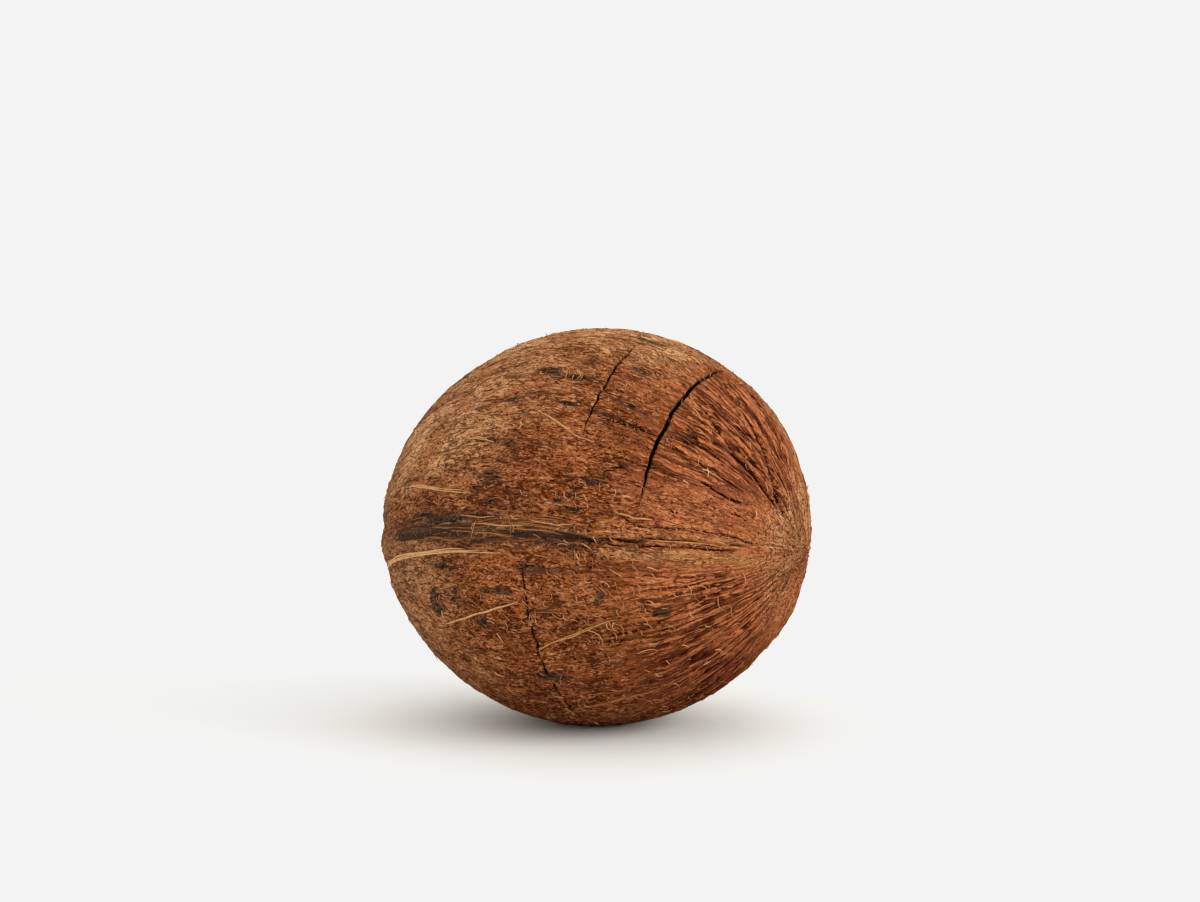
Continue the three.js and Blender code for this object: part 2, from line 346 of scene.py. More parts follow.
def drawn_relief(along, around):
    """The ridges and creases that have a place of their own, and how open the creases are."""
    height = 0 * along
    open_share = 0 * along
    for rise, half, course in RIDGES:
        height = height + rise * course_line(along, around, half, course)
    for drop, half, course in CREASES + stray_creases():
        line = course_line(along, around, half, course)
        height = height - drop * line
        open_share = np.maximum(open_share, line * min(1.0, 1.1 * drop))
    return height, open_share


def end_relief(along):
    nub = NUB_HEIGHT * bell(TIP_LENGTH * along, NUB_RADIUS)
    tuft = TUFT_HEIGHT * bell(STEM_LENGTH * (math.pi - along), TUFT_RADIUS)
    return nub + tuft


def eye_share(along, around):
    """Below 0 outside the three eyes, growing to 1 at the middle of each."""
    share = -1 + 0 * along
    eye_along = math.pi - EYE_DISTANCE / GIRTH_RADIUS
    here = on_nut(along, around)
    for k in range(SEAMS):
        middle = on_nut(eye_along, math.pi * (2 * k + 1) / SEAMS)
        distance = np.linalg.norm(here - middle, axis=-1)
        share = np.maximum(share, 1 - (distance / EYE_RADIUS) ** 2)
    return share


def grooved_share(along, around):
    """How strongly the coat splits into long fissures: most round the tip. Beside each seam
    the coat is felted instead, further out on its upper side."""
    d = seam_distance(along, around)
    felted = ramp(d, 20, 12) * ramp(d, -7, -2)
    return ramp(along / DEG, 74, 50) * (1 - 0.75 * felted)


def fissures(along, around):
    """Thin winding clefts between the fibres, from 0 to 1 at their deepest."""
    wander = 0.012 * grain(along, around, (60, 22), 11)
    wide = 1 - np.abs(grain(along, around + wander, FISSURE_CELLS, 12)) / 0.24
    fine = 1 - np.abs(grain(along, around + wander, FINE_FISSURE_CELLS, 13)) / 0.26
    cut = ramp(grain(along, around, (70, 16), 14), -0.45, 0.25)
    return np.maximum(np.clip(wide, 0, 1) * cut, 0.6 * np.clip(fine, 0, 1))


def coat_height(along, around, depth):
    """Height of the finished coat above the smooth form, and how deep each place lies in a
    gap of the coat, from 0 to 1, which the coat's material paints dark as shade."""
    grooves = groove_relief(along, around)
    hollows = hollow_relief(along, around)
    drawn, open_share = drawn_relief(along, around)
    lumps = LUMP_HEIGHT * grain(along, around, LUMPS, 1) * np.sin(along)
    clumps = grain(along, around, CLUMP_CELLS, 15)
    felt = grain(along, around, FELT_CELLS, 16)
    share = 0.2 + 0.8 * grooved_share(along, around)
    cleft = fissures(along, around) * share
    rough = np.sin(along) ** 0.5
    fine = depth * rough * (0.35 * clumps + 0.3 * felt - 1.2 * cleft)
    height = seam_relief(along, around) + grooves + hollows + drawn + lumps + fine
    height = height + end_relief(along)
    eye = eye_share(along, around)
    height = np.where(eye > 0, np.minimum(height, -EYE_DEPTH * eye), height)
    calm = 1 - bell(np.linalg.norm(on_nut(along, around), axis=-1), REST_CALM)

    # Gap: clefts, open creases, grooves and hollows, which the coat's colour darkens as painted
    # shade
    gap = np.maximum.reduce([0.45 * cleft, open_share, 0.25 * ramp(-grooves, 0.5, 1.3),
                             0.7 * ramp(-hollows, 0.5, 1.6)])
    return calm * height, gap


def crack_course(crack, around_deg):
    """A crack's middle in degrees along, and how far it gapes there, from 0 to 1."""
    along, lean, start, end, _, _, seed, (taper, end_taper) = crack
    middle = (start + end) / 2
    here = np.mod(around_deg - middle + 180, 360) - 180 + middle
    inside = np.clip(here, start, end)
    step = (inside - start) / CRACK_STEP
    i = np.floor(step)
    jog = lattice(i, 0, seed) * (1 - (step - i)) + lattice(i + 1, 0, seed) * (step - i)
    gape = np.sqrt(ramp(inside, start, start + taper) * ramp(inside, end, end - end_taper))
    gape = np.where((here > start) & (here < end), np.maximum(gape, 0.1), 0)
    return along + lean * (inside - start) + CRACK_JOG * jog, gape


def ragged_edge(around_deg, seed):
    """Uneven edge of a crack, in degrees."""
    i = np.floor(around_deg * 1.1)
    t = ease(around_deg * 1.1 - i)
    return CRACK_RAGGED * (lattice(i, 3, seed) * (1 - t) + lattice(i + 1, 3, seed) * t)


def net_rows(around, rows):
    """Rows of the coat's net, from tip to stem end. They follow the cracks, so that each
    crack is a narrow valley of rows of its own. Gives along, drop below the coat and how
    deep inside a crack each corner lies."""
    around_deg = around / DEG
    flat = 0 * around_deg
    lip = CRACK_LIP / TIP_LENGTH / DEG
    edges = [flat]
    valleys = []
    for number, crack in enumerate(CRACKS):
        width, depth = crack[4:6]
        middle, gape = crack_course(crack, around_deg)
        half = np.maximum(0.5 * width * gape, 0.03) / TIP_LENGTH / DEG
        upper, lower = [half + gape * np.abs(ragged_edge(around_deg, number + seed))
                        for seed in (20, 30)]
        # Across the valley: the place, then its drop and share inside where it gapes most
        valley = [(middle - upper - lip, 0, 0), (middle - upper, 0.12, 0.15),
                  (middle - 0.75 * upper, 0.45 * depth, 1), (middle, depth, 1),
                  (middle + 0.75 * lower, 0.45 * depth, 1), (middle + lower, 0.12, 0.15),
                  (middle + lower + lip, 0, 0)]
        valleys.append([(place, drop * gape, share * gape) for place, drop, share in valley])
        edges += [valley[0][0], valley[-1][0]]
    edges.append(180 + flat)

    made = []
    spans = [float(np.mean(edges[k + 1] - edges[k])) for k in range(0, len(edges), 2)]
    for k, span in enumerate(spans):
        first, last = edges[2 * k], edges[2 * k + 1]
        count = max(2, round(rows * span / sum(spans)))
        made += [(first + (last - first) * step / count, flat, flat) for step in range(1, count)]
        if k < len(valleys):
            made += valleys[k]
    along, drop, inside = np.stack(made, axis=1)
    return along * DEG, drop, inside


def net_faces(rows, columns):
    """Quads of a net that closes up around, with a fan of triangles at each end."""
    faces = []
    for first in range(0, (rows - 1) * columns, columns):
        second = first + columns
        for c in range(columns):
            n = (c + 1) % columns
            faces.append((first + c, first + n, second + n, second + c))
    tip = rows * columns
    last = tip - columns
    for c in range(columns):
        n = (c + 1) % columns
        faces += [(tip, n, c), (tip + 1, last + c, last + n)]
    return faces


def linear(hex_colour):
    """An sRGB hex colour as the linear colour that Blender's sockets take."""
    code = hex_colour.lstrip("#")
    parts = [int(code[k:k + 2], 16) / 255 for k in (0, 2, 4)]
    light = [p / 12.92 if p <= 0.04045 else ((p + 0.055) / 1.055) ** 2.4 for p in parts]
    return (*light, 1.0)


def add(tree, kind, inputs=None, **settings):
    """Adds a node with its settings. Each input is named or numbered, and takes a value, a
    socket or a node, whose first output in use is linked."""
    made = tree.nodes.new(kind)
    for name, value in settings.items():
        setattr(made, name, value)
    for key, value in (inputs or {}).items():
        if isinstance(key, str):
            socket = next(s for s in made.inputs if s.name == key and s.enabled)
        else:
            socket = made.inputs[key]
        if isinstance(value, bpy.types.Node):
            value = next(s for s in value.outputs if s.enabled)
        if isinstance(value, bpy.types.NodeSocket):
            tree.links.new(value, socket)
        else:
            socket.default_value = value
    return made


def new_material(name):
    material = bpy.data.materials.new(name)
    material.use_nodes = True
    material.node_tree.nodes.clear()
    return material, material.node_tree


def coir_coat_material(look):
    """Coir: the matted brown fibre that stays on the shell when the husk is torn off. Rough,
    dull and uneven, with painted shade in the gaps between the fibres, painted highlights on
    the fibre ends and no clear highlight."""
    material, tree = new_material("coir_coat")
    place, hues, marks, depths = [
        add(tree, "ShaderNodeAttribute", attribute_name=name).outputs["Vector"]
        for name in ("grain", "hues", "marks", "depths")]
    (_, _, reach), (golden, grey, deep), (band, scorch, stain), (gap, inside, eye) = [
        add(tree, "ShaderNodeSeparateXYZ", {0: packed}).outputs
        for packed in (place, hues, marks, depths)]
    grooved = add(tree, "ShaderNodeAttribute", attribute_name="grooved").outputs["Fac"]
    solid = add(tree, "ShaderNodeTexCoord").outputs["Object"]
    degree = DEG * TIP_LENGTH * MM  # one degree along the nut, in the measure of reach

    # The fibres wander about 1 mm to each side over 7 mm
    drift = add(tree, "ShaderNodeTexNoise", {"Vector": place, "Scale": 1 / (7 * MM)})
    centred = add(tree, "ShaderNodeVectorMath", {0: drift.outputs["Color"], 1: (0.5,) * 3},
                  operation="SUBTRACT")
    moved = add(tree, "ShaderNodeVectorMath", {0: centred, 1: (3 * MM,) * 3, 2: place},
                operation="MULTIPLY_ADD")

    # Patterns: where they lie, squeeze along the fibres, size in millimetres, detail,
    # roughness and distortion. The felt's gaps, painted dark as shade, come out 0.2 mm wide,
    # 1 mm long and 0.5 mm apart. The real ones are half as wide, too fine to show from a step
    # away.
    patterns = [
        (moved, 0.36, 0.5, 1, 0.5, 1.1),  # combed: matted fibre ends
        (moved, 0.14, 0.75, 2, 0.7, 0.6),  # drawn: strands of 5 mm, where the coat is split
        (solid, 1, 0.65, 1, 0.5, 1),  # tangled: no grain, round the tip where fibres meet
        (moved, 0.33, 2, 2, 0.55, 0.5),  # strokes: gaps of 2 to 5 mm at the ends of clumps
        (moved, 0.07, 2, 2, 0.35, 0.2),  # splits: long fissures with the fibres, 1 mm apart
        (moved, 0.4, 3.4, 2, 0.5, 0),  # clump: clumps of 3 mm that lie higher and lower
        (moved, 1, 10, 3, 0.5, 0),  # cloud: the red brown is paler in some places
        (moved, 0.36, 1.3, 2, 0.6, 0),  # fringe: tufts where one hue meets the next
    ]
    combed, drawn, tangled, strokes, splits, clump, cloud, fringe = [
        add(tree, "ShaderNodeTexNoise",
            {"Vector": add(tree, "ShaderNodeMapping", {"Vector": way, "Scale": (1, 1, squeeze)}),
             "Scale": 1 / (size * MM), "Detail": detail, "Roughness": roughness,
             "Distortion": distortion})
        for way, squeeze, size, detail, roughness, distortion in patterns]
    streaky = add(tree, "ShaderNodeMath", {0: grooved, 1: 0.65}, operation="MULTIPLY")
    laid = add(tree, "ShaderNodeMix", {"Factor": streaky, "A": combed, "B": drawn})
    meeting = add(tree, "ShaderNodeMapRange",
                  {"Value": reach, "From Min": 34 * degree, "From Max": 16 * degree},
                  interpolation_type="SMOOTHSTEP")
    felt = add(tree, "ShaderNodeMix", {"Factor": meeting, "A": laid, "B": tangled})

    # Shares of the mesh whose edges break up with a pattern, and how strongly they do
    torn, tufted, streak, char = [
        add(tree, "ShaderNodeMath", {0: pattern, 1: strength, 2: share}, operation="MULTIPLY_ADD")
        for pattern, strength, share in [(felt, -1.2, gap), (fringe, 1.1, golden),
                                         (splits, 2.4, stain), (fringe, 3.0, scorch)]]
    # A gap runs where its pattern crosses its own middle
    stroke_line, split_line = [
        add(tree, "ShaderNodeMath", {0: add(tree, "ShaderNodeMath", {0: pattern, 1: 0.5},
                                            operation="SUBTRACT")}, operation="ABSOLUTE")
        for pattern in (strokes, splits)]
    # Soft steps: of what, from, to, and the shares before and after
    steps = [
        (stroke_line, 0.014, 0.058, 1, 0),  # stroke: gaps at the ends of clumps, painted dark as shade
        (split_line, 0.032, 0.078, 1, 0),  # split: fissures with the fibres, painted dark as shade
        (clump, 0.62, 0.42, 0.1, 0.75),  # clumped: gaps open between the clumps
        (strokes, 0.35, 0.6, 1, 0.75),  # parted: fissures break off here and there
        (torn, -0.24, 0.02, 0, 1),  # cleft: the drawn clefts, painted dark as shade, end at single fibres
        (cloud, 0.36, 0.64, 0, 1),  # cloudy: paler places of about 1 cm
        (reach, 70 * degree, 44 * degree, 0, 0.85),  # to_tip: cleaner fibre there
        (felt, 0.56, 0.68, 0, 0.45),  # painted highlight: fibre ends that stand highest are paler
        (felt, 0.465, 0.415, 0, 0.85),  # painted shade: felt that lies low in the gaps is dark
        (felt, 0.42, 0.62, 0, 1),  # ashy: fibre that stands out of a scorch mark
        (streak, 1.5, 2.0, 0, 0.85),  # stained: streaked along the fibres
        (char, 1.35, 2.2, 0, 0.84),  # charred: scorch marks with frayed edges
        (inside, 0.1, 0.7, 0, 1),  # painted shade: broken shell in the cracks, darkened to near black
    ]
    (stroke, split, clumped, parted, cleft, cloudy, to_tip, tip_highlight, pin_shade, ashy, stained, charred,
     crack_shade) = [
        add(tree, "ShaderNodeMapRange", {"Value": value, "From Min": start, "From Max": end,
                                         "To Min": before, "To Max": after},
            interpolation_type="SMOOTHSTEP")
        for value, start, end, before, after in steps]
    golden, unsplit, rough = [
        add(tree, "ShaderNodeMapRange", {"Value": value, "From Min": start, "From Max": end,
                                         "To Min": before, "To Max": after})
        for value, start, end, before, after in [
            (tufted, 0.55, 1.45, 0, 1), (grooved, 0, 1, 1, 0.6), (felt, 0.35, 0.65, 0.95, 0.78)]]

    loose = add(tree, "ShaderNodeMath", {0: grooved, 1: stain}, operation="MAXIMUM")
    open_gap = cleft
    for line, *shares in [(stroke, clumped, unsplit), (split, parted, loose)]:
        for share in shares:
            line = add(tree, "ShaderNodeMath", {0: line, 1: share}, operation="MULTIPLY")
        open_gap = add(tree, "ShaderNodeMath", {0: open_gap, 1: line}, operation="MAXIMUM")
    # Painted shade: the gaps and the low felt take the dark gap colour; the open gaps are also
    # sunk by the bump
    dark = add(tree, "ShaderNodeMath", {0: pin_shade, 1: open_gap}, operation="MAXIMUM")
    # The coat's height, where 1 is about half a millimetre
    height = clump
    for pattern, strength in [(felt, 1.1), (open_gap, -0.75)]:
        height = add(tree, "ShaderNodeMath", {0: pattern, 1: strength, 2: height},
                     operation="MULTIPLY_ADD")

    # Hues that mix in tufts, then the layers that lie on them, from the oldest to the last.
    # Among them are painted shade on the lower side, in the gaps and in the cracks, and painted
    # highlights on the fibre ends.
    reds, golds, gap_shades, burnt = [
        add(tree, "ShaderNodeMix", {"Factor": share, "A": linear(low), "B": linear(high)},
            data_type="RGBA")
        for share, low, high in [
            (cloudy, look.deep_brown, look.red_brown), (cloudy, look.warm_brown, look.golden),
            (golden, look.gap_shade, look.warm_gap_shade), (ashy, look.charcoal_dark, look.charcoal)]]
    skin = reds
    # The deep share lays painted shade on the lower side
    for share, layer in [(to_tip, linear(look.fresh_brown)), (deep, linear(look.painted_shade_brown)),
                         (golden, golds), (grey, linear(look.grey_brown)),
                         (band, linear(look.tan)), (tip_highlight, linear(look.pale)), (dark, gap_shades),
                         (stained, linear(look.stain)), (charred, burnt),
                         (crack_shade, linear(look.crack)), (eye, linear(look.eye))]:
        skin = add(tree, "ShaderNodeMix", {"Factor": share, "A": skin, "B": layer},
                   data_type="RGBA")
    relief = add(tree, "ShaderNodeBump", {"Strength": 1.0, "Distance": 1.1 * MM, "Height": height})
    shader = add(tree, "ShaderNodeBsdfPrincipled",
                 {"Base Color": skin, "Roughness": rough, "IOR": 1.5,
                  "Specular IOR Level": 0.02, "Normal": relief})
    add(tree, "ShaderNodeOutputMaterial", {"Surface": shader})
    return material


def coir_fibre_material(name, dark, mid, light):
    """Single coir fibres: dull plant fibre, paler where it is worn, each of its own tone."""
    material, tree = new_material(name)
    tone = add(tree, "ShaderNodeAttribute", attribute_name="tone").outputs["Fac"]
    solid = add(tree, "ShaderNodeTexCoord").outputs["Object"]
    fleck = add(tree, "ShaderNodeTexNoise",
                {"Vector": solid, "Scale": 1 / (1.2 * MM), "Detail": 2.0})
    uneven = add(tree, "ShaderNodeMath", {0: fleck, 1: 0.8, 2: tone}, operation="MULTIPLY_ADD")
    colour = linear(dark)
    for start, paler in [(0.35, mid), (0.85, light)]:
        share = add(tree, "ShaderNodeMapRange",
                    {"Value": uneven, "From Min": start, "From Max": start + 0.5})
        colour = add(tree, "ShaderNodeMix", {"Factor": share, "A": colour, "B": linear(paler)},
                     data_type="RGBA")
    relief = add(tree, "ShaderNodeBump", {"Strength": 0.5, "Distance": 0.15 * MM, "Height": fleck})
    shader = add(tree, "ShaderNodeBsdfPrincipled",
                 {"Base Color": colour, "Roughness": 0.75, "IOR": 1.5,
                  "Specular IOR Level": 0.06, "Normal": relief})
    add(tree, "ShaderNodeOutputMaterial", {"Surface": shader})
    return material


def paper_material(look):
    """Seamless studio paper: matt, with soft clouds where its pulp lies thinner. Its tooth is
    far too fine to show, so only the clouds are drawn."""
    material, tree = new_material("seamless_paper")
    solid = add(tree, "ShaderNodeTexCoord").outputs["Object"]
    tooth = add(tree, "ShaderNodeTexNoise",
                {"Vector": solid, "Scale": 1 / (PAPER_CLOUDS * MM), "Detail": 3.0})
    paper = linear(look.paper)
    dimmer = (*(0.985 * part for part in paper[:3]), 1.0)
    colour = add(tree, "ShaderNodeMix", {"Factor": tooth, "A": dimmer, "B": paper},
                 data_type="RGBA")
    shader = add(tree, "ShaderNodeBsdfPrincipled",
                 {"Base Color": colour, "Roughness": 0.95, "Specular IOR Level": 0.1})
    add(tree, "ShaderNodeOutputMaterial", {"Surface": shader})
    return material


def placed(name, data, **settings):
    """Stands a mesh, a lamp or the camera in the scene."""
    made = bpy.data.objects.new(name, data)
    for key, value in settings.items():
        setattr(made, key, value)
    bpy.context.scene.collection.objects.link(made)
    return made


def new_piece(name, points, faces, material):
    """A finished mesh object from points in millimetres."""
    mesh = bpy.data.meshes.new(name)
    mesh.from_pydata((np.asarray(points) * MM).tolist(), [], faces)
    mesh.materials.append(material)
    mesh.polygons.foreach_set("use_smooth", [True] * len(mesh.polygons))
    mesh.update()
    return placed(name, mesh)


def store(mesh, name, values):
    """Stores a number or a vector at each point of a mesh."""
    values = np.asarray(values, np.float32)
    kind, field = ("FLOAT_VECTOR", "vector") if values.ndim == 2 else ("FLOAT", "value")
    mesh.attributes.new(name, kind, "POINT").data.foreach_set(field, values.ravel())


def belong(piece):
    """Makes a piece part of the nut: it moves with the root."""
    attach(piece, "root")
    return piece


def flow_direction(along, around):
    """Unit vectors along the fibres, towards the stem end."""
    step = 0.01
    ahead = on_nut(along + step, around) - on_nut(along - step, around)
    return ahead / np.linalg.norm(ahead, axis=-1, keepdims=True)


def hue_shares(along, around):
    """Golden, grey and painted lower-side shade shares of the coat, which shade into each other.
    The ramps say between which degrees along (a) and around (b) each of them sets in."""
    a = along / DEG
    b = short_turn(around) / DEG
    drift = 12 * grain(along, around, (7, 5), 31)
    upper = ramp(a + drift, 78, 104) * ramp(b + drift, -4, 22) * ramp(b, 150, 95)
    top = 0.9 * ramp(b + drift, 60, 84) * ramp(b, 130, 100) * ramp(a + drift, 50, 72)
    tip = 0.6 * ramp(a, 26, 10) * ramp(b, -100, -20)
    hidden = 0.7 * ramp(grain(along, around, (5, 4), 32), 0.1, 0.7) * ramp(np.abs(b), 95, 130)
    lower = 0.4 * ramp(a + drift, 92, 112) * ramp(b + drift, -70, -40) * ramp(b, 6, -4)
    golden = np.maximum.reduce([upper, top, tip, hidden, lower])
    grey = np.maximum.reduce([0.65 * ramp(a + drift, 112, 158),
                              0.4 * ramp(a, 95, 125) * bell(b + 6, 16),
                              0.8 * stain_share(along, around)])
    # Deep: painted shade, darker towards the lower side
    deep = 0.6 * ramp(b + drift, -18, -52) + 0.4 * ramp(b + drift, -58, -82)
    return golden, grey, deep * ramp(b, -175, -130) * ramp(a, 16, 42)


def seam_band(along, around):
    """Share of the smooth tan band that runs just below each seam, from the tip on."""
    d = seam_distance(along, around)
    uneven = 0.5 * grain(along, around, (90, 30), 33)
    fade = ramp(along / DEG, 70, 58) * ramp(along / DEG, 10, 32)
    upper = 0.5 * bell(d - 2.8, 0.9)
    return np.clip(bell(d + 2.2 + uneven, 1.4) + upper, 0, 1) * fade


def stain_share(along, around):
    """Share of the dark strip along the seams, strongest on the front one."""
    start, end, middle, half = STAIN
    a = along / DEG
    front = ramp(np.abs(short_turn(around)) / DEG, 60, 40)
    d = seam_distance(along, around) - middle
    narrowed = half * (0.45 + 0.55 * ramp(a, start, start + 26))
    ends = ramp(a, start - 3, start + 6) * ramp(a, end + 8, end - 8)
    return bell(d, narrowed) * ends * (0.35 + 0.65 * front)


def scorch_share(along, around):
    """How near each place is to the middle of a scorch mark, from -1 to 1."""
    share = -1 + 0 * along
    uneven = grain(along, around, (150, 50), 42) + grain(along, around, (70, 24), 43)
    for mark_along, mark_around, half_length, half_width in SCORCH_MARKS:
        length = (along - mark_along * DEG) * TIP_LENGTH
        across = aside_from(mark_around * DEG, along, around) + SCORCH_RAGGED * uneven
        near = 1 - (length / half_length) ** 2 / 1.5 - (across / half_width) ** 2 / 1.5
        share = np.maximum(share, near)
    share = share + SCORCH_BROKEN * uneven * ramp(share, -1, 0.2)
    hidden = 1 - bell(short_turn(around - 10 * DEG) / DEG, 85)
    stray = ramp(grain(along, around, (26, 12), 41), 0.62, 0.95) * hidden
    return np.maximum(share, 2 * stray - 1)


def hair_share(along, around):
    """Where the curled fibre ends stand: thickest below the front seam, in tufts elsewhere."""
    a = along / DEG
    b = short_turn(around) / DEG
    below = bell(a - 68, 20) * bell(b + 17, 14)
    above = 0.5 * bell(a - 70, 18) * bell(b - 8, 9)
    tufts = 0.15 * ramp(grain(along, around, (12, 9), 51), 0.15, 0.7)
    return np.clip(np.maximum.reduce([below, above, tufts]) + 0.06, 0, 1)


def make_coat(settings):
    """The whole nut's outside: one closed net with its clefts, seams, eyes and cracks."""
    line = np.arange(settings.columns) * 2 * math.pi / settings.columns
    along, drop, inside = net_rows(line, settings.rows)
    around = np.broadcast_to(line, along.shape)
    faces = net_faces(*along.shape)
    height, gap = coat_height(along, around, settings.fine_depth / MM)
    points = on_nut(along, around, height - drop)

    ends = np.array([0.0, math.pi])
    points = np.concatenate([points.reshape(-1, 3), on_nut(ends, 0 * ends, end_relief(ends))])
    points[:, 2] = np.maximum(points[:, 2], 0)
    along, around, gap, inside = [
        np.concatenate([whole.ravel(), added]) for whole, added in
        [(along, ends), (around, 0 * ends), (gap, 0 * ends), (inside, 0 * ends)]]
    coat = new_piece("coat", points, faces, coir_coat_material(settings))

    eye = np.clip(1.6 * eye_share(along, around), 0, 1)
    bare = np.maximum.reduce([2 * inside, eye, ramp(along / DEG, 8, 3), ramp(points[:, 2], 6, 2)])
    reach = GIRTH_RADIUS * MM
    shares = {
        "grain": (reach * np.cos(around), reach * np.sin(around), TIP_LENGTH * MM * along),
        "hues": hue_shares(along, around),
        "marks": (seam_band(along, around), scorch_share(along, around),
                  stain_share(along, around)),
        "depths": (gap, inside, eye),
        "grooved": grooved_share(along, around),
        "hairiness": hair_share(along, around) * np.clip(1 - bare, 0, 1),
        "flow": flow_direction(along, around).T,
    }
    for name, values in shares.items():
        store(coat.data, name, np.array(values).T)
    return coat


def new_tree(name, sockets):
    """A geometry tree with named inputs, and the outputs of its input node by name."""
    tree = bpy.data.node_groups.new(name, "GeometryNodeTree")
    for label, (kind, value) in sockets.items():
        socket = tree.interface.new_socket(label, in_out="INPUT", socket_type="NodeSocket" + kind)
        if value is not None:
            socket.default_value = value
    tree.interface.new_socket("Made", in_out="OUTPUT", socket_type="NodeSocketGeometry")
    return tree, add(tree, "NodeGroupInput").outputs


def finish_tree(tree, made, material):
    """Ends a tree: its result as real, smooth geometry of one material."""
    real = add(tree, "GeometryNodeRealizeInstances", {"Geometry": made})
    soft = add(tree, "GeometryNodeSetShadeSmooth", {"Geometry": real})
    done = add(tree, "GeometryNodeSetMaterial", {"Geometry": soft, "Material": material})
    add(tree, "NodeGroupOutput", {"Made": done})
    return tree


def run_tree(name, tree, mesh, inputs):
    """Runs a tree on a mesh and keeps its result as a plain mesh object."""
    host = placed(name + "_host", mesh)
    modifier = host.modifiers.new(name, "NODES")
    modifier.node_group = tree
    sockets = {item.name: item.identifier for item in tree.interface.items_tree}
    for label, value in inputs.items():
        modifier[sockets[label]] = value
    graph = bpy.context.evaluated_depsgraph_get()
    made = bpy.data.meshes.new_from_object(host.evaluated_get(graph), depsgraph=graph)
    host.modifiers.remove(modifier)
    bpy.data.objects.remove(host)
    made.name = name
    if not len(made.polygons):
        raise RuntimeError(name + " came out empty")
    return placed(name, made)


def laid_fibre_tree():
    """Sweeps a flattened round profile along courses on the coat. Each course says how
    wide it is at every point and which way is up."""
    tree, given = new_tree("laid_fibres", {
        "Courses": ("Geometry", None), "Sides": ("Int", 5), "Flatness": ("Float", 0.6),
        "Material": ("Material", None)})
    up, width = [add(tree, "GeometryNodeInputNamedAttribute", {"Name": name}, data_type=kind)
                 for name, kind in [("up", "FLOAT_VECTOR"), ("width", "FLOAT")]]
    line = add(tree, "GeometryNodeMeshToCurve", {"Mesh": given["Courses"]})
    upright = add(tree, "GeometryNodeSetCurveNormal", {"Curve": line, "Normal": up}, mode="FREE")
    ring = add(tree, "GeometryNodeCurvePrimitiveCircle",
               {"Resolution": given["Sides"], "Radius": 0.5})
    squeeze = add(tree, "ShaderNodeCombineXYZ", {"X": given["Flatness"], "Y": 1.0, "Z": 1.0})
    profile = add(tree, "GeometryNodeTransform", {"Geometry": ring, "Scale": squeeze})
    swept = add(tree, "GeometryNodeCurveToMesh",
                {"Curve": upright, "Profile Curve": profile, "Scale": width, "Fill Caps": True})
    return finish_tree(tree, swept, given["Material"])


def fibre_line(knots, shares):
    """Along and around of a fibre at even steps, its knots in degrees rounded off."""
    knots = np.array(knots, float) * DEG
    spots = np.linspace(0, 1, len(knots))
    line = np.stack([np.interp(shares, spots, knots[:, k]) for k in range(2)])
    for _ in range(3):
        line[:, 1:-1] = (line[:, :-2] + 2 * line[:, 1:-1] + line[:, 2:]) / 4
    return line


def lay_fibres(name, tree, courses, material, steps, sides, flatness):
    """Lays fibres on the coat. A course is its knots in degrees, its width, how far it
    lies above the coat in the middle and at its ends, and its tone."""
    shares = np.linspace(0, 1, steps)
    along, around = np.stack([fibre_line(course[0], shares) for course in courses], axis=1)
    width, rise, end_rise, tone = [np.array([[course[k]] for course in courses])
                                   for k in range(1, 5)]
    height, _ = coat_height(along, around, FINE_DEPTH)
    lift = height + rise + end_rise * np.abs(2 * shares - 1) ** 4
    middle = on_nut(along, around, lift)
    up = on_nut(along, around, lift + 1) - middle
    taper = np.sqrt(np.clip(1.03 - np.abs(2 * shares - 1) ** 3, 0, 1))
    first = np.arange(len(courses))[:, None] * steps + np.arange(steps - 1)
    edges = np.stack([first, first + 1], axis=-1).reshape(-1, 2)

    mesh = bpy.data.meshes.new(name + "_courses")
    mesh.from_pydata((middle.reshape(-1, 3) * MM).tolist(), edges.tolist(), [])
    store(mesh, "up", up.reshape(-1, 3))
    store(mesh, "width", (width * MM * taper).ravel())
    store(mesh, "tone", (tone + 0 * along).ravel())
    return run_tree(name, tree, mesh, {"Sides": sides, "Flatness": flatness, "Material": material})


def strand_courses(random):
    """The coarse pale strands, each split into a few fibres that lie side by side."""
    courses = []
    for width, paleness, course in STRANDS:
        splits = max(1, round(width / STRAND_FIBRE))
        spots = np.linspace(0, len(course) - 1, 3 * len(course))
        line = [np.interp(spots, range(len(course)), part) for part in zip(*course)]
        for k in range(splits):
            shift = (k - (splits - 1) / 2) * 0.75 * width / splits
            knots = []
            for along, around in zip(*line):
                aside = shift + random.normal(0, 0.12)
                turn = aside / (GIRTH_RADIUS * math.sin(along * DEG)) / DEG
                knots.append((along + random.uniform(-0.3, 0.3), around + turn))
            if k:
                knots = knots[random.integers(0, 4):len(knots) - random.integers(0, 5)]
            tone = paleness + random.uniform(-0.25, 0.15)
            courses.append((knots, 0.95 * width / splits, 0.12, 0.1, tone))
    return courses


def crosses_a_crack(along, around, half_length):
    """Whether a fibre that lies along the grain would bridge a crack; all in degrees."""
    for crack in CRACKS:
        start, end = crack[2:4]
        middle = crack[0] + crack[1] * (around - start)
        if start - 3 < around < end + 3 and abs(along - middle) < half_length + 1:
            return True
    return False


